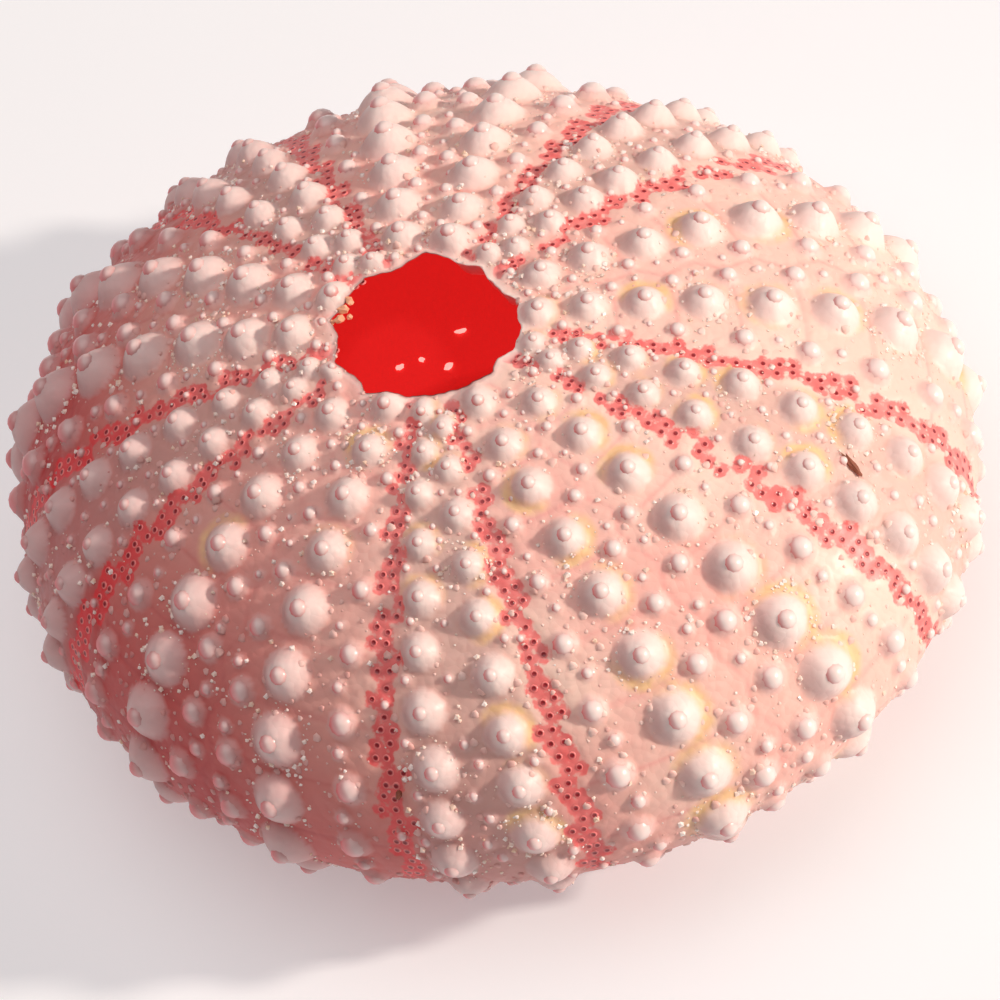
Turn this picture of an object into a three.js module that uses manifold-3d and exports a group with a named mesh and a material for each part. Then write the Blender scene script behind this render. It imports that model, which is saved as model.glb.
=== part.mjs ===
// The empty shell (test) of a regular sea urchin, in millimetres, +Z up.
// One hollow calcite wall with ten double columns of tubercles, a scalloped opening at the top
// where the apical plates have dropped out, and the wide mouth opening underneath.
// It stands on the flat land round the mouth; the origin is on that plane, under the shell's axis.
import * as THREE from "three";
import { mergeVertices } from "three/addons/utils/BufferGeometryUtils.js";
import Module from "manifold-3d";

const wasm = await Module();
wasm.setup();

// Driving dimensions. Radii are those of the round shell, before it is made oval.
const WALL_RADIUS = 28.9; // outer wall at its widest level
const CROWN_RISE = 15.7; // from the widest level to the top of the outer ellipse
const UNDER_DROP = 10.9; // from the widest level to the bottom of the outer ellipse
const SIDE_THICKNESS = 1.7; // wall at its widest level
const CROWN_THICKNESS = 1.3; // wall at the top and the bottom
const OVALITY = 0.058; // stretch along X, and the same squeeze along Y

const LAND_OUTER_RADIUS = 14.6; // flat resting land round the mouth
const LAND_INNER_RADIUS = 11.4;
const MOUTH_RADIUS = 9.0; // mouth opening, its edge turned up into the shell
const MOUTH_EDGE_RISE = 0.9;
const MOUTH_EDGE_THICKNESS = 1.1;
const FLOOR_THICKNESS = 1.5; // wall over the land

const APICAL_RADIUS = 5.1; // opening at the top, at the inner points of its scallops
const SCALLOPS = 12;
const SCALLOP_DEPTH = 0.6;

const ZONES = 5; // fivefold body plan
const ZONE_STEP = (2 * Math.PI) / ZONES;
const FIRST_AMBULACRUM = THREE.MathUtils.degToRad(-59); // middle of the first tube-foot zone

// The two kinds of zone take turns round the shell, and each has a double column of tubercles.
// middle is its share of the step from one ambulacrum to the next, spread the half angle between
// its columns, and sides the number of sides of a tubercle. pitch and boss are the spacing and
// the base radius of the tubercles at the top and at the widest level.
const AMBULACRUM = {
  middle: 0,
  spread: 0.09,
  pitch: [2.7, 3.5],
  boss: [0.9, 1.5],
  sides: 4,
};
const INTERAMBULACRUM = {
  middle: 0.5,
  spread: 0.17,
  pitch: [2.7, 4.2],
  boss: [1.35, 2.2],
  sides: 6,
};
const BOSS_HEIGHT_RATIO = 0.45; // height of a tubercle over its base radius
const BOSS_ROOT = 0.6; // depth of a tubercle's foot inside the wall
const RIM_MARGIN = 1.5; // clear wall between the top opening and the first tubercle
const LAND_MARGIN = 3.0; // clear wall between the last tubercle and the land

const WALL_SIDES = 54;
const CROWN_STEPS = 8;
const UNDER_STEPS = 5;

const landTurn = Math.PI - Math.asin(LAND_OUTER_RADIUS / WALL_RADIUS);
const widestHeight = -UNDER_DROP * Math.cos(landTurn);
const innerRadius = WALL_RADIUS - SIDE_THICKNESS;
const innerCrownRise = CROWN_RISE - CROWN_THICKNESS;
const innerUnderDrop = UNDER_DROP - CROWN_THICKNESS;

// Point of an oval section at a turn angle from the top (0) through the widest level to the bottom (pi).
function section(turn, radius, rise, drop) {
  const half = turn < Math.PI / 2 ? rise : drop;
  return new THREE.Vector2(radius * Math.sin(turn), widestHeight + half * Math.cos(turn));
}

function outerSection(turn) {
  return section(turn, WALL_RADIUS, CROWN_RISE, UNDER_DROP);
}

function sectionRun(start, end, steps, radius, rise, drop) {
  const points = [];
  for (let step = 0; step <= steps; step += 1) {
    points.push(section(THREE.MathUtils.lerp(start, end, step / steps), radius, rise, drop));
  }
  return points;
}

// Closed outline of the wall: down the outside, across the land, in at the mouth and up the inside.
function wallOutline() {
  const topTurn = Math.asin((APICAL_RADIUS - SCALLOP_DEPTH) / WALL_RADIUS);
  const innerTopTurn = Math.asin((APICAL_RADIUS - SCALLOP_DEPTH) / innerRadius);
  const innerFloorTurn = Math.PI - Math.acos((widestHeight - FLOOR_THICKNESS) / innerUnderDrop);
  const outer = [
    ...sectionRun(topTurn, Math.PI / 2, CROWN_STEPS, WALL_RADIUS, CROWN_RISE, UNDER_DROP),
    ...sectionRun(Math.PI / 2, landTurn, UNDER_STEPS, WALL_RADIUS, CROWN_RISE, UNDER_DROP).slice(1),
    new THREE.Vector2(LAND_INNER_RADIUS, 0),
    new THREE.Vector2(MOUTH_RADIUS, MOUTH_EDGE_RISE),
    new THREE.Vector2(MOUTH_RADIUS, MOUTH_EDGE_RISE + MOUTH_EDGE_THICKNESS),
  ];
  const inner = [
    ...sectionRun(innerFloorTurn, Math.PI / 2, UNDER_STEPS - 1, innerRadius, innerCrownRise, innerUnderDrop),
    ...sectionRun(Math.PI / 2, innerTopTurn, CROWN_STEPS - 2, innerRadius, innerCrownRise, innerUnderDrop)
      .slice(1),
  ];
  return [...outer, ...inner, outer[0].clone()];
}

// A closed mesh as a solid that can be joined and cut.
function solid(geometry) {
  const bare = geometry.index ? geometry.toNonIndexed() : geometry.clone();
  bare.deleteAttribute("normal");
  bare.deleteAttribute("uv");
  const merged = mergeVertices(bare, 1e-4);
  const mesh = new wasm.Mesh({
    numProp: 3,
    vertProperties: new Float32Array(merged.attributes.position.array),
    triVerts: new Uint32Array(merged.index.array),
  });
  return new wasm.Manifold(mesh);
}

function geometryOf(manifold) {
  const mesh = manifold.getMesh();
  const geometry = new THREE.BufferGeometry();
  geometry.setAttribute("position", new THREE.BufferAttribute(mesh.vertProperties, 3));
  geometry.setIndex(new THREE.BufferAttribute(mesh.triVerts, 1));
  return geometry;
}

function wallSolid() {
  const wall = new THREE.LatheGeometry(wallOutline().reverse(), WALL_SIDES);
  wall.rotateX(Math.PI / 2);
  return solid(wall);
}

// A prism with a scalloped outline that cuts the opening at the top.
function apicalCutter() {
  const outline = new THREE.Shape();
  const pointCount = SCALLOPS * 6;
  for (let index = 0; index < pointCount; index += 1) {
    const angle = (2 * Math.PI * index) / pointCount;
    const radius = APICAL_RADIUS + SCALLOP_DEPTH * Math.abs(Math.sin((SCALLOPS * angle) / 2));
    const move = index === 0 ? "moveTo" : "lineTo";
    outline[move](radius * Math.cos(angle), radius * Math.sin(angle));
  }
  outline.closePath();
  const prism = new THREE.ExtrudeGeometry(outline, { depth: CROWN_RISE, bevelEnabled: false });
  prism.translate(0, 0, widestHeight + CROWN_RISE / 2);
  return solid(prism);
}

// Value that goes from its top to its widest-level size with the width of the shell.
function sizeAt(turn, [atTop, atWidest]) {
  return THREE.MathUtils.lerp(atTop, atWidest, Math.sin(turn));
}

// Turn angles of the tubercles down one column, a pitch apart along the wall.
function columnTurns(zone, startShare) {
  const turns = [];
  const turnStep = 0.002;
  const topTurn = Math.asin((APICAL_RADIUS + SCALLOP_DEPTH + RIM_MARGIN) / WALL_RADIUS);
  const lastTurn = Math.PI - Math.asin((LAND_OUTER_RADIUS + LAND_MARGIN) / WALL_RADIUS);
  let run = startShare;
  let previous = outerSection(topTurn);
  for (let turn = topTurn + turnStep; turn < lastTurn; turn += turnStep) {
    const point = outerSection(turn);
    run += point.distanceTo(previous) / sizeAt(turn, zone.pitch);
    previous = point;
    if (run >= 1) {
      turns.push(turn);
      run -= 1;
    }
  }
  return turns;
}

// One tubercle: a cone of a few sides whose foot is inside the wall.
function bossSolid(zone, turn, azimuth) {
  const size = sizeAt(turn, zone.boss);
  const height = size * BOSS_HEIGHT_RATIO;
  const outline = [
    new THREE.Vector2(0, -BOSS_ROOT),
    new THREE.Vector2(size, -BOSS_ROOT),
    new THREE.Vector2(0, height),
  ];
  const boss = new THREE.LatheGeometry(outline, zone.sides);
  const here = outerSection(turn);
  const ahead = outerSection(turn + 0.01).sub(outerSection(turn - 0.01));
  const normal = new THREE.Vector3(-ahead.y * Math.cos(azimuth), -ahead.y * Math.sin(azimuth), ahead.x);
  const tilt = new THREE.Quaternion().setFromUnitVectors(new THREE.Vector3(0, 1, 0), normal.normalize());
  boss.applyQuaternion(tilt);
  boss.translate(here.x * Math.cos(azimuth), here.x * Math.sin(azimuth), here.y);
  return solid(boss);
}

function shellGeometry() {
  let shell = wallSolid().subtract(apicalCutter());
  for (const zone of [AMBULACRUM, INTERAMBULACRUM]) {
    for (let index = 0; index < ZONES; index += 1) {
      const middle = FIRST_AMBULACRUM + (index + zone.middle) * ZONE_STEP;
      for (const side of [-1, 1]) {
        const startShare = side < 0 ? 0.5 : 1;
        for (const turn of columnTurns(zone, startShare)) {
          shell = shell.add(bossSolid(zone, turn, middle + side * zone.spread));
        }
      }
    }
  }
  const geometry = geometryOf(shell);
  geometry.scale(1 + OVALITY, 1 - OVALITY, 1);
  return geometry;
}

const calcite = new THREE.MeshStandardMaterial({ color: "#f0c4b8", roughness: 0.45, metalness: 0 });
const shell = new THREE.Mesh(shellGeometry(), calcite);
shell.name = "shell";

const part = new THREE.Group();
part.add(shell);

export default part;
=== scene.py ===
import math

import bmesh
import bpy
import numpy as np
from mathutils import Matrix, Vector, noise


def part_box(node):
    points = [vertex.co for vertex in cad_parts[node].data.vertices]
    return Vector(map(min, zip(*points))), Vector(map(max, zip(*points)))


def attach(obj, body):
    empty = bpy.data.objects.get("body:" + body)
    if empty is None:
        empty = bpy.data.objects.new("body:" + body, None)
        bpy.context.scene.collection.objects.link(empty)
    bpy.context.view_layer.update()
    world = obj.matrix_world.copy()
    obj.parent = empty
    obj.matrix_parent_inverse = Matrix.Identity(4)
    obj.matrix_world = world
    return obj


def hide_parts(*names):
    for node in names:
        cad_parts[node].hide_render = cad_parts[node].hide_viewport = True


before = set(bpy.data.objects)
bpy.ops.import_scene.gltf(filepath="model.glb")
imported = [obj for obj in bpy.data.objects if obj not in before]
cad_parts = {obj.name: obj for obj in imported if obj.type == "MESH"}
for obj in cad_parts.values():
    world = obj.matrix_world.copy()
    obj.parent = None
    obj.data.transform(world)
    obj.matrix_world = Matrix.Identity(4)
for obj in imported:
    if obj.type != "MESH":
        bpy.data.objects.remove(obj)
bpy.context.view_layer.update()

# The empty shell of a regular sea urchin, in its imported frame: metres, +Z up, longer diameter along X.
# The wall is one closed mesh whose outside is raised into tubercles and pore bands. Geometry Nodes
# grow what repeats on it: the tubercles' knobs, the pores' rims, the granules and the salt grains.

random = np.random.default_rng(11)

# ---------------------------------------------------------------------------------------- sizes
# Lengths below are in millimetres and angles in radians, unless a name says degrees.

MM = 0.001
shell_low, shell_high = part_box("shell")
LENGTH = (shell_high.x - shell_low.x) / MM
HEIGHT = shell_high.z / MM

OVALITY = 0.058  # stretch along X and squeeze along Y
WALL_RADIUS = LENGTH / 2 / (1 + OVALITY) - 0.5  # round shell, at the feet of its tubercles
WIDEST_Z = 0.372 * HEIGHT
CROWN_RISE = 0.621 * HEIGHT
UNDER_DROP = 0.431 * HEIGHT
SIDE_WALL = 1.7
CROWN_WALL = 1.3

LAND_OUTER = 14.6  # flat land that the shell rests on
LAND_INNER = 11.4
MOUTH_RADIUS = 9.0
MOUTH_EDGE_Z = 0.9
MOUTH_LIP = 1.1
FLOOR_WALL = 1.5

ZONES = 5
ZONE_STEP = 2 * math.pi / ZONES
FIRST_AMBULACRUM = math.radians(-59.1)
KEY_LIGHT_WAY = (0.79, 0.49, 0.36)  # towards the low key light; painted shade goes on the sides turned from it
PAINTED_LIGHT_WAY = (0.7, 0.55, 1.4)  # painted light and shade: colours turn paler this way, from the low shaded side up over the crown

# Sizes that change from the top opening to the mouth are given at these turns from the axis.
KNOTS = (0.2, 0.5, 0.9, 1.4, 2.0, 2.6)

# spread: half angle between a zone's two columns. pitch: spacing along a column. boss: base radius.
# firsts: where each zone's two columns start, in tubercles from the edge of the top opening.
INTERAMBULACRUM = {
    "middle": 0.5,
    "spread": (0.2, 0.178, 0.17, 0.172, 0.17, 0.16),
    "pitch": (2.8, 3.6, 4.2, 3.85, 3.4, 2.9),
    "boss": (1.1, 1.42, 1.72, 1.88, 1.6, 1.1),
    "firsts": ((0.4, 0.1), (0.35, 0.8), (0.6, 0.85), (0.4, 0.0), (0.95, 0.3)),
    "grades": (0.96, 1.0, 1.16, 1.16, 1.0),
}
AMBULACRUM = {
    "middle": 0.0,
    "spread": (0.078, 0.088, 0.092, 0.09, 0.085, 0.08),
    "pitch": (2.6, 3.15, 3.55, 3.1, 2.9, 2.5),
    "boss": (0.8, 1.12, 1.35, 1.5, 1.3, 0.95),
    "firsts": ((0.3, 0.75), (0.8, 1.35), (1.0, 0.5), (0.5, 0.9), (0.8, 1.3)),
    "grades": (1.0, 1.0, 1.05, 1.1, 1.0),
}
IA, AM = INTERAMBULACRUM, AMBULACRUM
WORN_TURNS = (1.1, 1.6, 2.3)  # tubercles are lower on the underside, by these shares
WORN_HEIGHTS = (1, 0.86, 0.7)
PORE_SPREAD = (0.162, 0.185, 0.196, 0.184, 0.18, 0.17)
PAIRS_PER_ARC = 4
PAIR_GAP = 0.7

# Corners of the top opening, where it reaches furthest out: place round the rim in degrees, radius
# there, and how far the edge bows in between it and the next corner.
RIM_CORNERS = (
    (8, 5.3, 0.0),
    (26, 5.4, 0.2),
    (49, 5.55, 0.6),
    (86, 5.55, 0.15),
    (103, 5.4, 0.1),
    (123, 6.15, 0.75),
    (162, 6.0, 0.3),
    (198, 6.1, 0.6),
    (228, 6.05, 0.5),
    (260, 5.8, 0.4),
    (286, 5.15, 0.12),
    (310, 4.95, 0.1),
    (347, 5.05, 0.4),
)
RIM_MEAN = 5.4

CRUSTS = ((20.2, -12.1, 18.9), (16.4, -9.2, 21.6), (-13.5, 3.5, 22.0))  # middles of crusts of salt
LIT_PATCH = (-15.5, 8.8, 1.9)  # middle of a painted pool of light on the lining

# ---------------------------------------------------------------------------------- the form


def section(turn, radius, rise, drop):
    """Radius and height of an oval section at a turn from the top, 0, to the bottom, pi."""
    half = np.where(turn < math.pi / 2, rise, drop)
    return radius * np.sin(turn), WIDEST_Z + half * np.cos(turn)


def outer_section(turn):
    return section(turn, WALL_RADIUS, CROWN_RISE, UNDER_DROP)


TOP_TURN = math.asin(RIM_MEAN / WALL_RADIUS)
LAND_TURN = math.pi - math.asin(LAND_OUTER / WALL_RADIUS)
TURNS = np.linspace(TOP_TURN, LAND_TURN, 3000)
STEPS = np.hypot(*(np.gradient(values) for values in outer_section(TURNS)))
RUN = np.cumsum(STEPS) - STEPS[0]  # length of wall from the top opening down to each turn


def at_turn(turn, values):
    return np.interp(turn, KNOTS, values)


def plates_down_to(turn, zone):
    """How many plates of a zone lie between the top opening and a turn."""
    return np.interp(turn, TURNS, np.cumsum(STEPS / at_turn(TURNS, zone["pitch"])))


def turn_of_plate(plate, zone):
    return np.interp(plate, plates_down_to(TURNS, zone), TURNS)


def wall_point(turn, azimuth):
    """Points on the outside of the wall, at the feet of its tubercles."""
    radius, height = outer_section(turn)
    across = (1 + OVALITY) * radius * np.cos(azimuth)
    along = (1 - OVALITY) * radius * np.sin(azimuth)
    return np.stack([across, along, height + 0 * across], -1)


def wall_normal(turn, azimuth):
    half = np.where(turn < math.pi / 2, CROWN_RISE, UNDER_DROP)
    steep = half * np.sin(turn)
    out = np.stack(
        [
            (1 - OVALITY) * steep * np.cos(azimuth),
            (1 + OVALITY) * steep * np.sin(azimuth),
            (1 - OVALITY**2) * WALL_RADIUS * np.cos(turn) + 0 * azimuth,
        ],
        -1,
    )
    return out / np.linalg.norm(out, axis=-1, keepdims=True)


def rim_radius(azimuth):
    """Radius of the top opening round its notched edge."""
    first, last = RIM_CORNERS[0], RIM_CORNERS[-1]
    corners = np.array([(last[0] - 360, *last[1:]), *RIM_CORNERS, (first[0] + 360, *first[1:])])
    degrees = np.degrees(azimuth) % 360
    gap = np.searchsorted(corners[:, 0], degrees, side="right") - 1
    here, there = corners[gap], corners[gap + 1]
    share = (degrees - here[:, 0]) / (there[:, 0] - here[:, 0])
    bowed = here[:, 1] + (there[:, 1] - here[:, 1]) * share - here[:, 2] * np.sin(math.pi * share) ** 0.8
    return bowed + 0.05 * np.sin(17 * azimuth) + 0.03 * np.sin(41 * azimuth)


def undercut(azimuth):
    """How far the rim is worn to a knife edge, 1, or keeps its thickness as a bevel, 0."""
    return 1 - smooth_step(np.cos(azimuth - math.radians(52)), 0.35, 0.7)


def smooth_step(value, low, high):
    share = np.clip((value - low) / (high - low), 0, 1)
    return share * share * (3 - 2 * share)


# ------------------------------------------------------------------------------- tubercles


def at_column(index, zone, half_angle, side):
    return FIRST_AMBULACRUM + (index + zone["middle"]) * ZONE_STEP + side * half_angle


def tubercle_rows(zone, kind, place, radii, rise, offset=0.0, jitter=0.1, left_out=0.0):
    """One tubercle for each plate of each column of a zone.

    place turns a turn and its column's half angle into the tubercle's own half angle, rise is height
    over radius, offset counts plates below the column's primary tubercles, left_out is a share."""
    rows = []
    for index in range(ZONES):
        for side, first in zip((-1, 1), zone["firsts"][index]):
            plates = np.arange(first + offset - 1, plates_down_to(LAND_TURN, zone), 1.0)
            for turn in turn_of_plate(plates[plates > 0.12], zone):
                drift, slip = random.normal(0, jitter, 2)
                grade, tall, spared, stain, caught = random.random(5)
                if spared < left_out:
                    continue
                half_angle = place(turn, float(at_turn(turn, zone["spread"])))
                azimuth = at_column(index, zone, half_angle, side)
                radius = float(at_turn(turn, radii)) * zone["grades"][index] * (0.94 + 0.12 * grade)
                worn = float(np.interp(turn, WORN_TURNS, WORN_HEIGHTS))
                # Rings of yellow stain are real, but they are drawn more often on the lit right side of the
                # shell and each leans towards the key light: painted light.
                yellow = (0.25 if zone is IA else 0.0) + 0.7 * math.cos(azimuth + 0.35)
                row = {
                    "turn": turn + drift / WALL_RADIUS,
                    "azimuth": azimuth + slip / (WALL_RADIUS * math.sin(turn)),
                    "radius": radius,
                    "height": radius * rise * worn * (0.94 + 0.12 * tall),
                    "kind": kind,
                    "stain": max(0.0, min(1.0, (yellow - stain) * 3)),
                    "caught": caught**3,
                    "lean": 1.3 * np.array(KEY_LIGHT_WAY) + random.normal(0, 1, 3),
                }
                rows.append(row)
    return rows


def beside_pores(share):
    """Place a share of the way from an interambulacral column to its pore band."""

    def place(turn, half_angle):
        band = ZONE_STEP / 2 - float(at_turn(turn, PORE_SPREAD))
        return half_angle + share * (band - half_angle)

    return place


def towards_middle(share):
    return lambda turn, half_angle: half_angle * share


tubercles = tubercle_rows(IA, "primary", towards_middle(1), IA["boss"], 0.68, jitter=0.08)
tubercles += tubercle_rows(AM, "ambulacral", towards_middle(1), AM["boss"], 0.72, jitter=0.08)
for place, radii, offset, jitter, left_out in (
    (beside_pores(0.62), (0.4, 0.65, 0.98, 1.12, 1.0, 0.7), 0.5, 0.1, 0.0),
    (towards_middle(0.34), (0.3, 0.6, 0.95, 1.12, 1.0, 0.7), 0.5, 0.12, 0.0),
    (beside_pores(0.55), (0.2, 0.3, 0.45, 0.65, 0.65, 0.45), 0.0, 0.2, 0.25),
    (towards_middle(0.2), (0.2, 0.28, 0.42, 0.65, 0.6, 0.45), 0.05, 0.25, 0.25),
    (beside_pores(1.0), (0.2, 0.25, 0.35, 0.45, 0.45, 0.4), 0.2, 0.3, 0.5),
):
    tubercles += tubercle_rows(IA, "secondary", place, radii, 0.66, offset, jitter, left_out)
for share, radii, offset in (
    (0.15, (0.2, 0.3, 0.38, 0.5, 0.45, 0.4), 0.5),
    (1.5, (0.25, 0.32, 0.4, 0.45, 0.45, 0.4), 0.5),
):
    tubercles += tubercle_rows(AM, "secondary", towards_middle(share), radii, 0.66, offset, 0.18, 0.1)


def pore_rows():
    """Pairs of pores in slanting arcs, one arc beside each plate of an ambulacrum."""
    places = []
    for index in range(ZONES):
        for side, first in zip((-1, 1), AM["firsts"][index]):
            plate_ends = np.arange(first - 1, plates_down_to(2.5, AM), 1.0)
            for plate in plate_ends:
                for step in range(PAIRS_PER_ARC):
                    share = (step + 0.4) / PAIRS_PER_ARC
                    if plate + share < 0.15:
                        continue
                    turn = float(turn_of_plate(plate + share, AM))
                    width = float(at_turn(turn, (0.65, 0.85, 1.0, 1.0, 0.9, 0.6)))
                    slant = width * (0.5 - (1 - share) ** 1.6)
                    for half in (-0.5, 0.5):
                        drift, slip = random.normal(0, 0.08, 2)
                        across = slant + half * PAIR_GAP * width + slip
                        around = outer_section(turn)[0]
                        angle = float(at_turn(turn, PORE_SPREAD)) + across / around
                        places.append((turn + drift / WALL_RADIUS, at_column(index, AM, angle, side), width))
    places = np.array(places)
    domes = [t for t in tubercles if t["kind"] != "secondary"]
    centres = wall_point(np.array([t["turn"] for t in domes]), np.array([t["azimuth"] for t in domes]))
    radii = np.array([t["radius"] for t in domes])
    gaps = np.linalg.norm(wall_point(places[:, 0], places[:, 1])[:, None] - centres, axis=-1)
    kept = (gaps > 0.8 * radii).all(axis=1) & (random.random(len(places)) > 0.12)
    return places[kept]


pores = pore_rows()

# ---------------------------------------------------------------------------------- the wall

FINE_EDGE = 0.25  # spacing of the mesh where the shell is seen
COARSE_EDGE = 0.55  # and on its underside
INNER_EDGE = 0.7
ROW_STEP = 0.87  # height over side of the even triangles that the mesh is made of


def ring_list():
    """Rings of the closed wall, down the outside, in at the mouth and up the inside."""
    rings = []
    reach = 0.0
    while reach < RUN[-1]:
        turn = float(np.interp(reach, RUN, TURNS))
        edge = FINE_EDGE + (COARSE_EDGE - FINE_EDGE) * float(smooth_step(turn, 1.65, 2.2))
        radius, height = outer_section(turn)
        rings.append(("outside", turn, float(radius), float(height), edge, reach))
        reach += edge * ROW_STEP if reach else 0.1
    corners = [(LAND_OUTER, 0.0), (13.5, 0.0), (12.4, 0.0), (LAND_INNER, 0.05), (10.4, 0.25), (9.5, 0.55)]
    corners += [(MOUTH_RADIUS + 0.1, MOUTH_EDGE_Z - 0.1), (MOUTH_RADIUS - 0.15, MOUTH_EDGE_Z + 0.35)]
    corners += [(MOUTH_RADIUS, MOUTH_EDGE_Z + MOUTH_LIP - 0.2), (9.6, MOUTH_EDGE_Z + MOUTH_LIP), (12.5, 1.75)]
    rings += [("base", 0, radius, height, 0.6, 0) for radius, height in corners]
    inner_radius = WALL_RADIUS - SIDE_WALL
    inner_drop = UNDER_DROP - CROWN_WALL
    inner_rise = CROWN_RISE - CROWN_WALL
    start = math.pi - math.acos((WIDEST_Z - FLOOR_WALL) / inner_drop)
    end = math.asin((RIM_MEAN + 1.9) / inner_radius)
    for turn in np.linspace(start, end, 56):
        radius, height = section(turn, inner_radius, inner_rise, inner_drop)
        rings.append(("inside", turn, float(radius), float(height), INNER_EDGE, 0))
    top_z = float(outer_section(TOP_TURN)[1])
    for depth in (1.15, 0.95, 0.7, 0.45, 0.22, 0.07):
        rings.append(("lip", 0, RIM_MEAN, top_z - depth, 0.3, depth))
    return rings


def zip_rings(first, count, next_first, next_count):
    """Triangles between two rings of evenly spaced vertices that start at the same azimuth."""
    here = np.arange(count)
    beside = -((count - (2 * here + 1) * next_count) // (2 * count)) % next_count
    lower = np.stack([first + here, next_first + beside, first + (here + 1) % count], -1)
    there = np.arange(next_count)
    above = ((2 * there + 1) * count + next_count) // (2 * next_count) % count
    upper = np.stack([next_first + there, next_first + (there + 1) % next_count, first + above], -1)
    return np.concatenate([lower, upper])


def bumps(points, reach, ring_starts, rows, margin):
    """For each round feature, the vertices near it and their distance from it in feature radii."""
    centres = wall_point(rows[:, 0], rows[:, 1])
    middles = np.interp(rows[:, 0], TURNS, RUN)
    ring_reach = reach[ring_starts[:-1]]
    for centre, middle, radius in zip(centres, middles, rows[:, 2]):
        span = radius * margin
        low, high = np.searchsorted(ring_reach, (middle - span, middle + span))
        window = slice(ring_starts[low], ring_starts[high])
        distance = np.linalg.norm(points[window] - centre, axis=-1) / radius
        near = np.flatnonzero(distance < margin)
        yield near + ring_starts[low], distance[near]


def sutures(turn, azimuth):
    """The joints between interambulacral plates: one across below each plate, and a zigzag seam."""
    step = (azimuth - FIRST_AMBULACRUM) / ZONE_STEP - IA["middle"]
    index = np.round(step).astype(int)
    angle = (step - index) * ZONE_STEP
    around = outer_section(turn)[0]
    first = np.array(IA["firsts"])[index % ZONES, np.where(angle < 0, 0, 1)]
    plate = plates_down_to(turn, IA) - first + 0.5
    across = np.abs(plate - np.round(plate)) * at_turn(turn, IA["pitch"])
    left_plate = plates_down_to(turn, IA) - np.array(IA["firsts"])[index % ZONES, 0]
    zigzag = 0.9 * np.abs(left_plate % 1 * 2 - 1) - 0.45
    seam = np.minimum(across, np.abs(angle * around - zigzag))
    inside = np.abs(angle) < ZONE_STEP / 2 - at_turn(turn, PORE_SPREAD) - 1.1 / around
    return np.exp(-((seam / 0.15) ** 2)) * inside


def outside_relief(turn, azimuth, ring_starts):
    """Height of the relief on the outside of the wall, and the masks that its colours follow.

    Bumps that meet are added as cubes, so that the higher one keeps its shape."""
    points = wall_point(turn, azimuth)
    reach = np.interp(turn, TURNS, RUN)
    cubes = np.zeros_like(turn)
    names = ("dome", "knoll", "ring", "coral", "pale", "foot", "painted_shade")
    masks = {name: np.zeros_like(turn) for name in names}
    rows = np.array([(t["turn"], t["azimuth"], t["radius"]) for t in tubercles])
    for tubercle, (near, distance) in zip(tubercles, bumps(points, reach, ring_starts, rows, 1.7)):
        share = np.clip(1 - distance**2, 0, 1)
        cubes[near] += (tubercle["height"] * share**1.12) ** 3
        raised = masks["knoll" if tubercle["kind"] == "secondary" else "dome"]
        raised[near] = np.maximum(raised[near], share**0.35)
        if tubercle["kind"] == "secondary":
            continue
        centre = wall_point(tubercle["turn"], tubercle["azimuth"])
        away = points[near] - centre
        away /= 1e-9 + np.linalg.norm(away, axis=1)[:, None]
        side = away @ tubercle["lean"] / np.linalg.norm(tubercle["lean"])
        # Painted shade: the side of each tubercle turned from the key light is drawn darker, on its slope.
        painted_shade = np.clip(-(away @ KEY_LIGHT_WAY), 0, 1)
        slope = np.exp(-(((distance - 0.72) / 0.28) ** 2))
        masks["painted_shade"][near] = np.maximum(masks["painted_shade"][near], painted_shade * slope)
        # Stain crescents: a real yellow stain, drawn only on the lit side of the shell and wider on each
        # tubercle's side towards the key light, which is painted light.
        halo = np.exp(-(((distance - 1.08) / 0.26) ** 2))
        stained = tubercle["stain"] * smooth_step(float(centre @ PAINTED_LIGHT_WAY), 8, 20)
        crescent = stained * halo * np.clip(0.5 + 1.1 * side, 0, 1)
        masks["ring"][near] = np.maximum(masks["ring"][near], crescent)
        masks["foot"][near] = np.maximum(masks["foot"][near], tubercle["caught"] * halo)
    relief = np.cbrt(cubes)
    rows = pores * (1, 1, 0.72)
    for near, distance in bumps(points, reach, ring_starts, rows, 1.0):
        masks["coral"][near] = np.maximum(masks["coral"][near], 1 - distance**3)
    step = (azimuth - FIRST_AMBULACRUM) / ZONE_STEP
    angle = np.abs(step - np.round(step)) * ZONE_STEP
    masks["pale"] = 1 - smooth_step(angle, 0.12, 0.17)
    for crust in CRUSTS:
        gap = np.linalg.norm(points - crust, axis=1)
        masks["foot"] = np.maximum(masks["foot"], 0.8 * np.exp(-((gap / 1.5) ** 2)))
    flat = 1 - np.clip(relief / 0.4, 0, 1)
    masks["suture"] = 0.5 * sutures(turn, azimuth) * flat
    relief -= 0.06 * masks["suture"]
    masks["coral"] *= flat**0.7
    relief -= 0.12 * masks["coral"] * flat
    masks["grit"] = np.clip(1.3 * flat - 0.9 * masks["coral"], 0, 1) * (1 - smooth_step(turn, 1.9, 2.25))
    masks["salt"] = (0.03 + 0.85 * masks["foot"]) * flat * (1 - smooth_step(turn, 1.8, 2.1))
    return relief, masks


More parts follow.
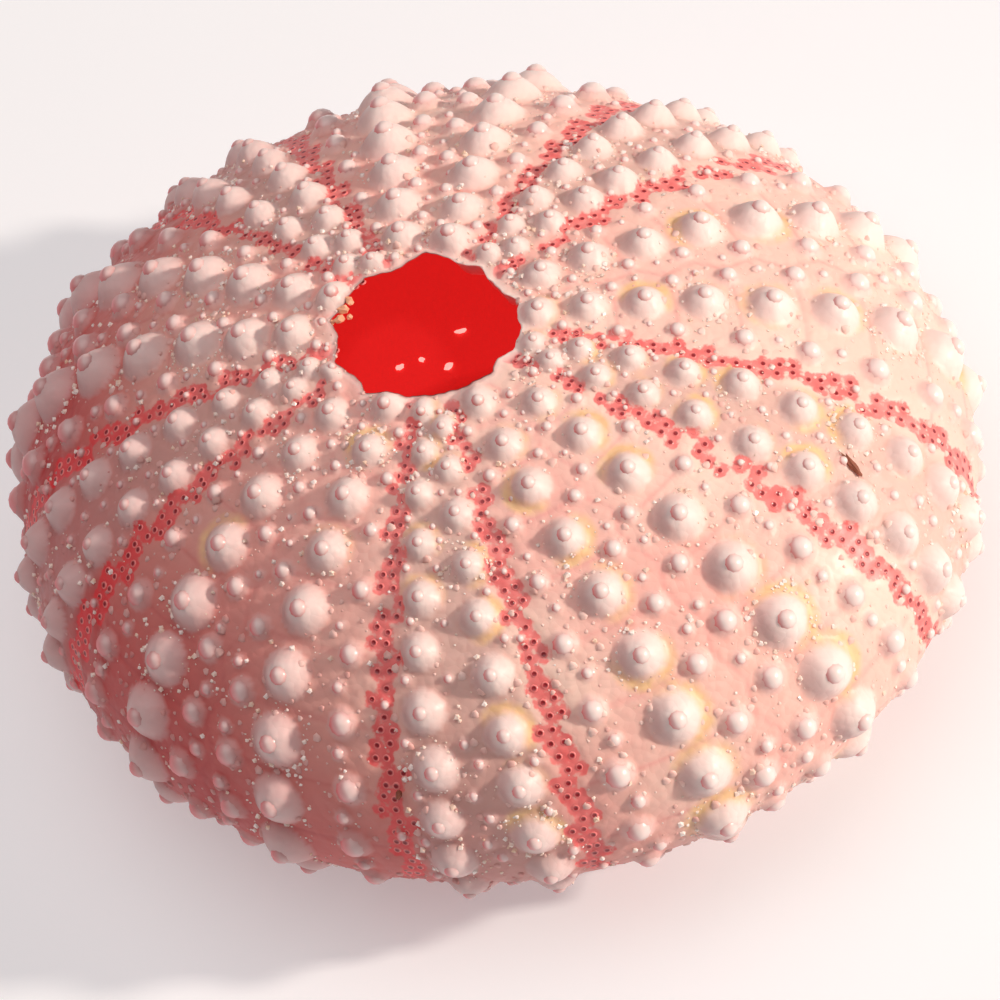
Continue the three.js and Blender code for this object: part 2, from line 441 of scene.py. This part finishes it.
def wall_mesh():
    rings = ring_list()
    counts = [max(40, round(2 * math.pi * ring[2] / ring[4])) for ring in rings]
    starts = np.concatenate([[0], np.cumsum(counts)])
    azimuth = np.concatenate([2 * math.pi * np.arange(count) / count for count in counts])
    ring_of = np.repeat(np.arange(len(rings)), counts)
    turn = np.array([ring[1] for ring in rings], float)[ring_of]
    radius = np.array([ring[2] for ring in rings])[ring_of]
    height = np.array([ring[3] for ring in rings])[ring_of]
    reach = np.array([ring[5] for ring in rings])[ring_of]
    place = np.array([ring[0] for ring in rings])[ring_of]
    points = np.stack(
        [(1 + OVALITY) * radius * np.cos(azimuth), (1 - OVALITY) * radius * np.sin(azimuth), height], -1
    )
    outside = place == "outside"
    last = int(outside.sum())
    ring_starts = starts[: int(sum(ring[0] == "outside" for ring in rings)) + 1]
    relief, masks = outside_relief(turn[:last], azimuth[:last], ring_starts)
    swell = np.array([noise.fractal(Vector(point) * 0.7, 0.8, 2.0, 3) for point in points[:last]])
    relief += 0.035 * swell
    settle = smooth_step(reach[:last], 0.0, 0.45)
    relief *= settle
    points[:last] += relief[:, None] * wall_normal(turn[:last], azimuth[:last])

    # The notched rim: the top rings follow its outline, and let go of it a little way down.
    pull = np.zeros_like(radius)
    pull[:last] = np.exp(-((reach[:last] / 1.6) ** 2))
    inner_top = place == "inside"
    pull[inner_top] = np.exp(-(((radius[inner_top] - RIM_MEAN) / 2.5) ** 2)) * (height[inner_top] > WIDEST_Z)
    pull[place == "lip"] = 1
    shift = pull * (rim_radius(azimuth) - RIM_MEAN)
    lip = place == "lip"
    shift[lip] += reach[lip] * (0.15 + 1.25 * undercut(azimuth[lip]))
    points[:, 0] += shift * np.cos(azimuth)
    points[:, 1] += shift * np.sin(azimuth)
    points[:, 2] = np.maximum(points[:, 2], 0)

    faces = []
    for index, count in enumerate(counts):
        after = (index + 1) % len(counts)
        faces.append(zip_rings(starts[index], count, starts[after], counts[after]))
    faces = np.concatenate(faces)
    full = {name: np.zeros(len(points)) for name in (*masks, "lining", "edge", "line", "thick", "patch")}
    for name, values in masks.items():
        full[name][:last] = values
    full["lining"][inner_top] = 1
    full["lining"][lip] = np.clip((reach[lip] - 0.25) / 0.9, 0, 1) ** (1 - 0.8 * undercut(azimuth[lip]))
    full["edge"][:last] = np.exp(-((reach[:last] / 0.45) ** 2))
    full["edge"][lip] = 1
    full["thick"][lip] = 1 - undercut(azimuth[lip])
    # A painted pool of light on the lining.
    gap = np.linalg.norm(points - LIT_PATCH, axis=1)
    full["patch"] = (1 - smooth_step(gap, 2.6, 3.8)) * (1 - smooth_step(points[:, 0], -12.0, -11.2))
    full["line"][:last] = np.clip(1 - reach[:last] * 6, 0, 1)
    full["line"][lip] = (reach[lip] < 0.1) * undercut(azimuth[lip])
    full["line"][:last] *= undercut(azimuth[:last])
    return points, faces, full


def mesh_object(name, points, faces, attributes=None):
    mesh = bpy.data.meshes.new(name)
    mesh.vertices.add(len(points))
    mesh.vertices.foreach_set("co", (np.asarray(points) * MM).astype(np.float32).ravel())
    mesh.loops.add(faces.size)
    mesh.loops.foreach_set("vertex_index", faces.ravel().astype(np.int32))
    mesh.polygons.add(len(faces))
    sides = faces.shape[1]
    mesh.polygons.foreach_set("loop_start", np.arange(0, faces.size, sides, dtype=np.int32))
    mesh.update(calc_edges=True)
    mesh.validate()
    mesh.shade_smooth()
    for label, values in (attributes or {}).items():
        layer = mesh.attributes.new(label, "FLOAT", "POINT")
        layer.data.foreach_set("value", np.asarray(values, np.float32))
    piece = bpy.data.objects.new(name, mesh)
    bpy.context.scene.collection.objects.link(piece)
    return piece


wall_points, wall_faces, wall_masks = wall_mesh()
wall = mesh_object("test_wall", wall_points, wall_faces, wall_masks)

# --------------------------------------------------------------------------------- materials


def colour(code):
    """sRGB hex as linear red, green, blue and alpha."""
    channels = [int(code[place : place + 2], 16) / 255 for place in (1, 3, 5)]
    linear = [c / 12.92 if c <= 0.04045 else ((c + 0.055) / 1.055) ** 2.4 for c in channels]
    return (*linear, 1.0)


def add_node(tree, kind, inputs=None, **settings):
    """A node with its settings, and its inputs set to values or linked to sockets."""
    node = tree.nodes.new(kind)
    for name, value in settings.items():
        setattr(node, name, value)
    for name, value in (inputs or {}).items():
        if isinstance(value, bpy.types.NodeSocket):
            tree.links.new(value, node.inputs[name])
        else:
            node.inputs[name].default_value = value
    return node


def start_material(name):
    """A new material and its empty node tree."""
    material = bpy.data.materials.new(name)
    material.use_nodes = True
    material.node_tree.nodes.clear()
    return material, material.node_tree


def mask(tree, name):
    return add_node(tree, "ShaderNodeAttribute", attribute_name=name).outputs["Fac"]


def finish_material(tree, inputs, **settings):
    """A Principled shader with these inputs, as the material's surface."""
    shader = add_node(tree, "ShaderNodeBsdfPrincipled", inputs, **settings)
    add_node(tree, "ShaderNodeOutputMaterial", {"Surface": shader.outputs["BSDF"]})


def blend_colours(tree, share, below, above):
    """One colour laid over another by a share from 0 to 1."""
    mixed = add_node(tree, "ShaderNodeMix", data_type="RGBA")
    for name, value in (("Factor", share), ("A", below), ("B", above)):
        kind = "VALUE" if name == "Factor" else "RGBA"
        socket = next(s for s in mixed.inputs if s.name == name and s.type == kind)
        if isinstance(value, bpy.types.NodeSocket):
            tree.links.new(value, socket)
        else:
            socket.default_value = value
    return next(s for s in mixed.outputs if s.type == "RGBA")


def painted_light_level(tree, place):
    """Metres along the way of the painted light, highest on the crown and the +X side."""
    level = add_node(tree, "ShaderNodeVectorMath", {0: place, 1: PAINTED_LIGHT_WAY}, operation="DOT_PRODUCT")
    return level.outputs["Value"]


def painted_light_share(tree, place):
    """Painted light and shade: 1 on the crown and +X side, towards the key light, 0 low on the other side,
    where colours are drawn darker and redder.
    """
    share = add_node(
        tree,
        "ShaderNodeMapRange",
        {"Value": painted_light_level(tree, place), "From Min": -0.002, "From Max": 0.033},
        interpolation_type="SMOOTHSTEP",
    )
    return share.outputs["Result"]


def painted_shade_share(tree):
    """Painted shade: how far a surface is turned from the key light, where it is drawn pinker."""
    facing = add_node(tree, "ShaderNodeNewGeometry").outputs["Normal"]
    level = add_node(tree, "ShaderNodeVectorMath", {0: facing, 1: KEY_LIGHT_WAY}, operation="DOT_PRODUCT")
    share = add_node(
        tree,
        "ShaderNodeMapRange",
        {"Value": level.outputs["Value"], "From Min": 0.25, "From Max": -0.6, "To Max": 0.9},
    )
    return share.outputs["Result"]


def calcite_material():
    """Bleached calcite, waxy and translucent: pink plates, cream tubercles, coral pore bands, with painted
    light and shade: darker and redder low on the side turned from the key light, paler towards it.
    """
    material, tree = start_material("bleached_calcite_waxy")
    place = add_node(tree, "ShaderNodeTexCoord").outputs["Object"]
    # Patches of stronger pink are about 9 mm across. Calcite's open mesh is some 0.02 mm, too fine to
    # show, so its grain is drawn as coarse as 0.4 to 0.8 mm.
    blotch = add_node(tree, "ShaderNodeTexNoise", {"Vector": place, "Scale": 1 / 0.009, "Detail": 1.0})
    speckle = add_node(tree, "ShaderNodeTexNoise", {"Vector": place, "Scale": 1 / 0.0008, "Detail": 1.0})
    patch = add_node(
        tree, "ShaderNodeMapRange", {"Value": blotch.outputs["Fac"], "From Min": 0.35, "From Max": 0.65}
    )
    # Painted light and shade: plates, tubercles, joints and coral are drawn darker and redder low on the side
    # turned from the key light, and paler towards it.
    painted_light = painted_light_share(tree, place)
    rosy = blend_colours(tree, patch.outputs["Result"], colour("#c04646"), colour("#cc5e5b"))
    peach = blend_colours(tree, patch.outputs["Result"], colour("#f2b9ad"), colour("#f5cfc0"))
    # Painted highlight: the plates turn palest where they face the key light most.
    painted_highlight = add_node(
        tree,
        "ShaderNodeMapRange",
        {"Value": painted_light_level(tree, place), "From Min": 0.04, "From Max": 0.05, "To Max": 0.6},
    )
    lit_side_plates = blend_colours(tree, painted_highlight.outputs["Result"], peach, colour("#f6dccd"))
    plates = blend_colours(tree, painted_light, rosy, lit_side_plates)
    bare = blend_colours(tree, painted_light, colour("#c67c79"), colour("#dfb7ab"))
    ground = blend_colours(tree, mask(tree, "pale"), plates, bare)
    cream = blend_colours(tree, painted_light, colour("#e0bebc"), colour("#f4e0da"))
    knoll = blend_colours(tree, painted_light, colour("#d39a98"), colour("#f0c6bf"))
    joint = blend_colours(tree, painted_light, colour("#b23a3c"), colour("#ea9c95"))
    with_joints = blend_colours(tree, mask(tree, "suture"), ground, joint)
    with_knolls = blend_colours(tree, mask(tree, "knoll"), with_joints, knoll)
    with_domes = blend_colours(tree, mask(tree, "dome"), with_knolls, cream)
    # Painted shade on the sides of the tubercles turned from the key light.
    kept = add_node(tree, "ShaderNodeMath", {0: mask(tree, "painted_shade"), 1: 0.55}, operation="MULTIPLY")
    with_painted_shade = blend_colours(tree, kept.outputs[0], with_domes, colour("#b37272"))
    crumbly = add_node(
        tree, "ShaderNodeMath", {0: mask(tree, "ring"), 1: speckle.outputs["Fac"]}, operation="MULTIPLY"
    )
    ring_share = add_node(
        tree, "ShaderNodeMapRange", {"Value": crumbly.outputs[0], "From Min": 0.06, "From Max": 0.46}
    )
    stain = colour("#f0c596")
    with_rings = blend_colours(tree, ring_share.outputs["Result"], with_painted_shade, stain)
    fray = add_node(tree, "ShaderNodeTexNoise", {"Vector": place, "Scale": 1 / 0.0004, "Detail": 2.0})
    torn = add_node(
        tree, "ShaderNodeMath", {0: mask(tree, "coral"), 1: fray.outputs["Fac"]}, operation="MULTIPLY"
    )
    coral_share = add_node(
        tree, "ShaderNodeMapRange", {"Value": torn.outputs[0], "From Min": 0.2, "From Max": 0.36}
    )
    # Coral is drawn lighter towards the key light and deep red on the other side: painted light and shade.
    lit_side_coral = blend_colours(tree, speckle.outputs["Fac"], colour("#fba29c"), colour("#ea5a5a"))
    coral = blend_colours(tree, painted_light, colour("#e6373d"), lit_side_coral)
    with_coral = blend_colours(tree, coral_share.outputs["Result"], with_rings, coral)
    bright = blend_colours(tree, mask(tree, "thick"), colour("#f6ded6"), colour("#f3aaa4"))
    with_edge = blend_colours(tree, mask(tree, "edge"), with_coral, bright)
    with_lining = blend_colours(tree, mask(tree, "lining"), with_edge, colour("#dc1c1e"))
    with_line = blend_colours(tree, mask(tree, "line"), with_lining, colour("#7a0e12"))
    # Painted light: the lining glows red, standing in for light through the wall, and glows a little more in
    # the painted pool of light.
    lit = add_node(
        tree, "ShaderNodeMapRange", {"Value": mask(tree, "patch"), "To Min": 0.27, "To Max": 0.36}
    )
    glow = add_node(
        tree, "ShaderNodeMath", {0: mask(tree, "lining"), 1: lit.outputs[0]}, operation="MULTIPLY"
    )
    cells = add_node(tree, "ShaderNodeTexVoronoi", {"Vector": place, "Scale": 1 / 0.0006}, feature="F1")
    relief = add_node(
        tree,
        "ShaderNodeMath",
        {0: speckle.outputs["Fac"], 1: cells.outputs["Distance"]},
        operation="SUBTRACT",
    )
    bump = add_node(
        tree, "ShaderNodeBump", {"Height": relief.outputs[0], "Strength": 0.45, "Distance": 0.0001}
    )
    finish_material(
        tree,
        {
            "Base Color": with_line,
            "Roughness": 0.5,
            "Specular IOR Level": 0.4,
            "Coat Weight": 0.08,
            "Coat Roughness": 0.25,
            "Subsurface Weight": 0.35,
            "Subsurface Radius": (1.0, 0.3, 0.3),
            "Subsurface Scale": 0.0007,
            "Normal": bump.outputs["Normal"],
            "Emission Color": colour("#ee3634"),
            "Emission Strength": glow.outputs[0],
        },
        subsurface_method="BURLEY",
    )
    return material


wall.data.materials.append(calcite_material())

# ------------------------------------------------------------------------------ what repeats


def turned_shape(name, profile, sides, attribute=None, rough=0.0):
    """A closed or domed little shape of size 1, turned about Z from radius and height pairs."""
    points, faces = [], []
    rows = []
    for radius, height, *_ in profile:
        if radius == 0:
            rows.append([len(points)] * sides)
            points.append((0, 0, height))
            continue
        rows.append(list(range(len(points), len(points) + sides)))
        spokes = [2 * math.pi * side / sides for side in range(sides)]
        points += [(radius * math.cos(spoke), radius * math.sin(spoke), height) for spoke in spokes]
    for lower, upper in zip(rows, rows[1:]):
        for side in range(sides):
            after = (side + 1) % sides
            corners = [lower[side], lower[after], upper[after], upper[side]]
            faces.append(list(dict.fromkeys(corners)))
    mesh = bpy.data.meshes.new(name)
    mesh.from_pydata(np.array(points) + random.normal(0, rough, (len(points), 3)), [], faces)
    if rough < 0.15:
        mesh.shade_smooth()
    if attribute:
        layer = mesh.attributes.new(attribute, "FLOAT", "POINT")
        for row, values in zip(rows, profile):
            for index in row:
                layer.data[index].value = values[2]
    return bpy.data.objects.new(name, mesh)


def new_tree(name, sockets):
    tree = bpy.data.node_groups.new(name, "GeometryNodeTree")
    for label, kind in sockets:
        tree.interface.new_socket(label, in_out="INPUT", socket_type="NodeSocket" + kind)
    tree.interface.new_socket("Geometry", in_out="OUTPUT", socket_type="NodeSocketGeometry")
    return tree, add_node(tree, "NodeGroupInput").outputs


def finish_tree(tree, given, points, rotation, scale):
    """Set the shape on the points, each spun about its own axis, and make plain faces of them."""
    spin = add_node(tree, "FunctionNodeRandomValue", {"Seed": given["Seed"]}, data_type="FLOAT")
    spin.inputs[3].default_value = 2 * math.pi
    turn = add_node(tree, "ShaderNodeCombineXYZ", {"Z": spin.outputs[1]})
    spun = add_node(
        tree,
        "FunctionNodeRotateRotation",
        {"Rotation": rotation, "Rotate By": turn.outputs[0]},
        rotation_space="LOCAL",
    )
    shape = add_node(tree, "GeometryNodeObjectInfo", {"Object": given["Shape"]})
    copies = add_node(
        tree,
        "GeometryNodeInstanceOnPoints",
        {
            "Points": points,
            "Instance": shape.outputs["Geometry"],
            "Rotation": spun.outputs[0],
            "Scale": scale,
        },
    )
    plain = add_node(tree, "GeometryNodeRealizeInstances", {"Geometry": copies.outputs["Instances"]})
    dressed = add_node(
        tree,
        "GeometryNodeSetMaterial",
        {"Geometry": plain.outputs["Geometry"], "Material": given["Material"]},
    )
    add_node(tree, "NodeGroupOutput", {"Geometry": dressed.outputs["Geometry"]})
    return tree


def placing_tree():
    """Sets a shape on points that carry their own outward direction and size."""
    sockets = (("Points", "Geometry"), ("Shape", "Object"), ("Seed", "Int"), ("Material", "Material"))
    tree, given = new_tree("set_on_points", sockets)
    outward = add_node(tree, "GeometryNodeInputNamedAttribute", {"Name": "outward"}, data_type="FLOAT_VECTOR")
    upright = add_node(tree, "FunctionNodeAlignRotationToVector", {"Vector": outward.outputs[0]}, axis="Z")
    size = add_node(tree, "GeometryNodeInputNamedAttribute", {"Name": "size"}, data_type="FLOAT")
    return finish_tree(tree, given, given["Points"], upright.outputs[0], size.outputs[0])


def scatter_tree():
    """Scatters a shape over a surface, as densely as one of its attributes says."""
    sockets = (
        ("Surface", "Geometry"),
        ("Shape", "Object"),
        ("Where", "String"),
        ("Spacing", "Float"),
        ("Density", "Float"),
        ("Smallest", "Float"),
        ("Largest", "Float"),
        ("Seed", "Int"),
        ("Material", "Material"),
    )
    tree, given = new_tree("scatter_on_surface", sockets)
    where = add_node(tree, "GeometryNodeInputNamedAttribute", {"Name": given["Where"]}, data_type="FLOAT")
    spread = add_node(
        tree,
        "GeometryNodeDistributePointsOnFaces",
        {
            "Mesh": given["Surface"],
            "Distance Min": given["Spacing"],
            "Density Max": given["Density"],
            "Density Factor": where.outputs[0],
            "Seed": given["Seed"],
        },
        distribute_method="POISSON",
    )
    share = add_node(tree, "FunctionNodeRandomValue", {"Seed": given["Seed"]}, data_type="FLOAT")
    small = add_node(tree, "ShaderNodeMath", {0: share.outputs[1], 1: 2.5}, operation="POWER")
    size = add_node(
        tree,
        "ShaderNodeMapRange",
        {"Value": small.outputs[0], "To Min": given["Smallest"], "To Max": given["Largest"]},
    )
    return finish_tree(tree, given, spread.outputs["Points"], spread.outputs["Rotation"], size.outputs[0])


def grow(name, tree, source, settings):
    """Runs a geometry tree over a mesh and keeps what it makes as a plain mesh."""
    seedbed = bpy.data.objects.new(name + "_seedbed", source)
    bpy.context.scene.collection.objects.link(seedbed)
    modifier = seedbed.modifiers.new("grow", "NODES")
    modifier.node_group = tree
    for socket in tree.interface.items_tree:
        if socket.in_out == "INPUT" and socket.name in settings:
            modifier[socket.identifier] = settings[socket.name]
    graph = bpy.context.evaluated_depsgraph_get()
    mesh = bpy.data.meshes.new_from_object(seedbed.evaluated_get(graph))
    mesh.name = name
    bpy.data.objects.remove(seedbed)
    piece = bpy.data.objects.new(name, mesh)
    bpy.context.scene.collection.objects.link(piece)
    return piece


def point_cloud(points, outward, sizes):
    mesh = bpy.data.meshes.new("points")
    mesh.vertices.add(len(points))
    mesh.vertices.foreach_set("co", (points * MM).astype(np.float32).ravel())
    mesh.attributes.new("outward", "FLOAT_VECTOR", "POINT").data.foreach_set("vector", outward.ravel())
    mesh.attributes.new("size", "FLOAT", "POINT").data.foreach_set("value", sizes * MM)
    return mesh


# Knob radius over tubercle radius, and how deep its middle sits below the tip in knob radii.
KNOB_SIZES = {"primary": (0.38, 0.6), "ambulacral": (0.36, 0.66), "secondary": (0.82, 0.85)}


def knob_cloud():
    """The rounded head at the tip of each tubercle."""
    turns = np.array([t["turn"] for t in tubercles])
    azimuths = np.array([t["azimuth"] for t in tubercles])
    heights = np.array([t["height"] for t in tubercles])
    radii = np.array([t["radius"] for t in tubercles])
    kinds = [t["kind"] for t in tubercles]
    share, sunk = np.array([KNOB_SIZES[kind] for kind in kinds]).T
    sizes = share * radii
    outward = wall_normal(turns, azimuths)
    points = wall_point(turns, azimuths) + outward * (heights - sunk * sizes)[:, None]
    above = points[:, 2] > sizes
    return point_cloud(points[above], outward[above], sizes[above])


def pore_cloud():
    outward = wall_normal(pores[:, 0], pores[:, 1])
    points = wall_point(pores[:, 0], pores[:, 1]) - 0.1 * outward
    return point_cloud(points, outward, 0.5 + 0.5 * pores[:, 2])


KNOB = ((0.9, -0.6, 0), (0.97, -0.1, 0), (0.93, 0.3, 0.3), (0.72, 0.66, 0.85), (0.38, 0.9, 1), (0, 0.98, 1))
PORE = ((0.27, -0.05, 0), (0.2, 0.03, 0), (0.155, 0.03, 0.4), (0.12, 0.008, 1), (0, 0.006, 1))
GRANULE = ((1.1, -0.25), (0.86, 0.15), (0.5, 0.36), (0, 0.45))
GRAIN = ((0, -0.8), (0.9, -0.3), (0.8, 0.4), (0, 0.9))


def knob_material():
    """Tubercle heads of polished calcite, a little harder and whiter than the wall, with painted shade:
    darker low on the side turned from the key light, and pinker on each head's own side turned from it.
    """
    material, tree = start_material("polished_calcite_cream")
    place = add_node(tree, "ShaderNodeTexCoord").outputs["Object"]
    painted_light = painted_light_share(tree, place)
    cream = blend_colours(tree, painted_light, colour("#e0bfbd"), colour("#f2dfda"))
    # Pinker towards the foot: partly the wall's own pink, partly painted shade.
    foot = blend_colours(tree, painted_light, colour("#b85c5c"), colour("#e39c98"))
    whole = blend_colours(tree, mask(tree, "tip"), foot, cream)
    tone = blend_colours(tree, painted_shade_share(tree), whole, colour("#ee6a70"))
    finish_material(tree, {"Base Color": tone, "Roughness": 0.36, "Coat Weight": 0.25, "Coat Roughness": 0.2})
    return material


def pore_material():
    """Pore rims stained coral, with dark red openings: painted shade standing in for the depth of the pores.
    """
    material, tree = start_material("coral_calcite_porous")
    tone = blend_colours(tree, mask(tree, "pit"), colour("#f4827f"), colour("#8e1822"))
    finish_material(tree, {"Base Color": tone, "Roughness": 0.36, "Coat Weight": 0.25, "Coat Roughness": 0.2})
    return material


def granule_material():
    """Miliary granules of translucent calcite, from pink to cream, with painted shade: pinker and darker low
    on the side turned from the key light.
    """
    material, tree = start_material("granular_calcite_satin")
    place = add_node(tree, "ShaderNodeTexCoord").outputs["Object"]
    mottle = add_node(tree, "ShaderNodeTexNoise", {"Vector": place, "Scale": 1 / 0.0015, "Detail": 2.0})
    share = add_node(
        tree, "ShaderNodeMapRange", {"Value": mottle.outputs["Fac"], "From Min": 0.35, "From Max": 0.65}
    )
    painted_light = painted_light_share(tree, place)
    rosy = blend_colours(tree, share.outputs["Result"], colour("#c97c7a"), colour("#dfaba6"))
    pale = blend_colours(tree, share.outputs["Result"], colour("#ecb8ae"), colour("#f3d5cb"))
    tone = blend_colours(tree, painted_light, rosy, pale)
    finish_material(tree, {"Base Color": tone, "Roughness": 0.55})
    return material


def salt_material():
    """Grains of sand and salt caught round the tubercles: pale, wet-looking, some amber."""
    material, tree = start_material("sand_and_salt_glassy")
    place = add_node(tree, "ShaderNodeTexCoord").outputs["Object"]
    mottle = add_node(tree, "ShaderNodeTexNoise", {"Vector": place, "Scale": 1 / 0.001, "Detail": 2.0})
    share = add_node(
        tree, "ShaderNodeMapRange", {"Value": mottle.outputs["Fac"], "From Min": 0.4, "From Max": 0.7}
    )
    tone = blend_colours(tree, share.outputs["Result"], colour("#f8ece6"), colour("#f0cdb4"))
    finish_material(tree, {"Base Color": tone, "Roughness": 0.12, "Coat Weight": 0.6})
    return material


set_on_points = placing_tree()
scatter_on_surface = scatter_tree()
knobs = grow(
    "tubercle_knobs",
    set_on_points,
    knob_cloud(),
    {"Shape": turned_shape("knob", KNOB, 10, "tip"), "Seed": 3, "Material": knob_material()},
)
pore_rims = grow(
    "pore_rims",
    set_on_points,
    pore_cloud(),
    {"Shape": turned_shape("pore", PORE, 8, "pit"), "Seed": 5, "Material": pore_material()},
)
granules = grow(
    "granules",
    scatter_on_surface,
    wall.data,
    {
        "Shape": turned_shape("granule", GRANULE, 6, rough=0.12),
        "Where": "grit",
        "Spacing": 0.5 * MM,
        "Density": 1.3e6,
        "Smallest": 0.08 * MM,
        "Largest": 0.32 * MM,
        "Seed": 21,
        "Material": granule_material(),
    },
)
salt_grains = grow(
    "salt_grains",
    scatter_on_surface,
    wall.data,
    {
        "Shape": turned_shape("grain", GRAIN, 5, rough=0.22),
        "Where": "salt",
        "Spacing": 0.13 * MM,
        "Density": 12e6,
        "Smallest": 0.05 * MM,
        "Largest": 0.21 * MM,
        "Seed": 34,
        "Material": salt_material(),
    },
)

# ------------------------------------------------------------------------------ what is caught


def lumps(name, rows, material):
    """Rough lumps as one mesh: each row has a centre, half lengths, and the direction of the first."""
    mesh = bpy.data.meshes.new(name)
    points, faces = [], []
    for centre, halves, direction in rows:
        ball = bmesh.new()
        bmesh.ops.create_icosphere(ball, subdivisions=2, radius=1.0)
        turn = Vector(direction).to_track_quat("X", "Z").to_matrix()
        start = len(points)
        for corner in ball.verts:
            rough = 1 + 0.7 * noise.noise(corner.co * 2.2 + Vector(centre))
            stretched = Vector([c * half * rough for c, half in zip(corner.co, halves)])
            points.append((Vector(centre) + turn @ stretched) * MM)
        faces += [[start + corner.index for corner in face.verts] for face in ball.faces]
        ball.free()
    mesh.from_pydata(points, [], faces)
    mesh.materials.append(material)
    piece = bpy.data.objects.new(name, mesh)
    bpy.context.scene.collection.objects.link(piece)
    return piece


def plain_material(name, code, roughness, glow=0.0):
    """One even colour and roughness, with a painted glow standing in for light that comes through from
    behind.
    """
    material, tree = start_material(name)
    finish_material(
        tree,
        {
            "Base Color": colour(code),
            "Roughness": roughness,
            "Emission Color": colour(code),
            "Emission Strength": glow,
        },
    )
    return material


# Sandstone crumbs on the rim: matte, warm orange-pink.
rim_crumbs = lumps(
    "rim_crumbs",
    [
        ((-5.95, -0.7, 24.75), (0.42, 0.26, 0.22), (1, 0.4, 0)),
        ((-5.75, -1.35, 24.75), (0.34, 0.3, 0.2), (0.3, 1, 0)),
        ((-5.9, 0.0, 24.8), (0.32, 0.22, 0.2), (1, -0.8, 0)),
        ((-5.35, -0.9, 24.6), (0.22, 0.18, 0.16), (0, 1, 0)),
        ((-6.1, -1.7, 24.7), (0.2, 0.2, 0.15), (1, 0, 0)),
    ],
    plain_material("sandstone_crumb_matte", "#f0b08a", 0.5),
)
# Wet quartz grains inside: pale, with a painted glow that makes them bright against the red, standing in for
# light through the wall.
inner_grains = lumps(
    "inner_grains",
    [
        ((-15.24, 8.89, 2.0), (0.3, 0.2, 0.14), (0.6, 1, 0)),
        ((-14.23, 9.99, 2.0), (0.22, 0.18, 0.12), (1, 0, 0)),
        ((-12.42, 10.35, 1.75), (0.32, 0.22, 0.14), (0.6, 1, 0)),
        ((-12.82, 12.7, 2.35), (0.42, 0.17, 0.12), (1, 0.75, 0)),
    ],
    plain_material("quartz_grain_pale", "#ffcfc4", 0.25, 0.75),
)
# A splinter and a speck of dried weed: dull brown.
weed_splinter = lumps(
    "weed_splinter",
    [
        ((25.1, 4.85, 18.2), (0.85, 0.2, 0.16), (1.27, -0.41, -0.89)),
        ((10.4, -24.1, 15.1), (0.42, 0.22, 0.18), (0.3, 0.1, 1)),
    ],
    plain_material("dry_weed_brown", "#8a4a34", 0.6),
)

# ------------------------------------------------------------------------- camera and light

# The camera looks down into the top opening with a long lens, its upright leaning over.
VIEW_AZIMUTH = math.radians(-39.0)
VIEW_ELEVATION = math.radians(51.54)
VIEW_ROLL = math.radians(23.03)
VIEW_DISTANCE = 365.5 * MM
AIM = Vector((0.69, -0.69, WIDEST_Z - 0.77)) * MM


def camera_frame():
    back = Vector(
        (
            math.cos(VIEW_ELEVATION) * math.cos(VIEW_AZIMUTH),
            math.cos(VIEW_ELEVATION) * math.sin(VIEW_AZIMUTH),
            math.sin(VIEW_ELEVATION),
        )
    )
    level_right = Vector((0, 0, 1)).cross(back).normalized()
    level_up = back.cross(level_right)
    up = level_up * math.cos(VIEW_ROLL) + level_right * math.sin(VIEW_ROLL)
    right = up.cross(back)
    return right, up, back


right, up, back = camera_frame()
camera_data = bpy.data.cameras.new("view")
camera_data.sensor_width = 36
camera_data.lens = 215.6
camera_data.clip_start = 0.01
camera = bpy.data.objects.new("view", camera_data)
camera.matrix_world = Matrix.Translation(AIM + back * VIEW_DISTANCE) @ Matrix(
    (right, up, back)
).transposed().to_4x4()
bpy.context.scene.collection.objects.link(camera)
bpy.context.scene.camera = camera


def softbox(name, direction, distance, size, power, tint):
    """A square light that faces the shell from a direction given as right, up and towards the camera."""
    lamp = bpy.data.lights.new(name, "AREA")
    lamp.size = size
    lamp.energy = power
    lamp.color = colour(tint)[:3]
    body = bpy.data.objects.new(name, lamp)
    towards = (right * direction[0] + up * direction[1] + back * direction[2]).normalized()
    body.location = AIM + towards * distance
    body.rotation_euler = towards.to_track_quat("Z", "Y").to_euler()
    bpy.context.scene.collection.objects.link(body)


softbox("key", (0.79, 0.28, 0.55), 0.7, 0.045, 4.85, "#fff0e2")
softbox("overhead", (-0.34, 0.6, 0.72), 1.0, 1.2, 6.6, "#fff1ee")

world = bpy.data.worlds.new("studio")
world.use_nodes = True
sky = world.node_tree.nodes["Background"]
sky.inputs["Color"].default_value = colour("#f4f1fa")
sky.inputs["Strength"].default_value = 0.1
bpy.context.scene.world = world
bpy.context.scene.view_settings.view_transform = "Standard"

FLOOR_HALF = 0.8
floor_mesh = bpy.data.meshes.new("floor")
floor_corners = [(x * FLOOR_HALF, y * FLOOR_HALF, 0) for x, y in ((-1, -1), (1, -1), (1, 1), (-1, 1))]
floor_mesh.from_pydata(floor_corners, [], [(0, 1, 2, 3)])
floor = bpy.data.objects.new("floor", floor_mesh)
bpy.context.scene.collection.objects.link(floor)
# White card: matte, near white in the light and pale grey in shadow.
floor_material, floor_tree = start_material("white_card")
finish_material(
    floor_tree,
    {
        "Base Color": colour("#d9dcdf"),
        "Roughness": 0.8,
        "Emission Color": colour("#ffffff"),
        "Emission Strength": 0.3,
    },
)
floor_mesh.materials.append(floor_material)

# ------------------------------------------------------------------------------- hand over

for piece in (wall, knobs, pore_rims, granules, salt_grains, rim_crumbs, inner_grains, weed_splinter):
    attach(piece, "root")
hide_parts("shell")
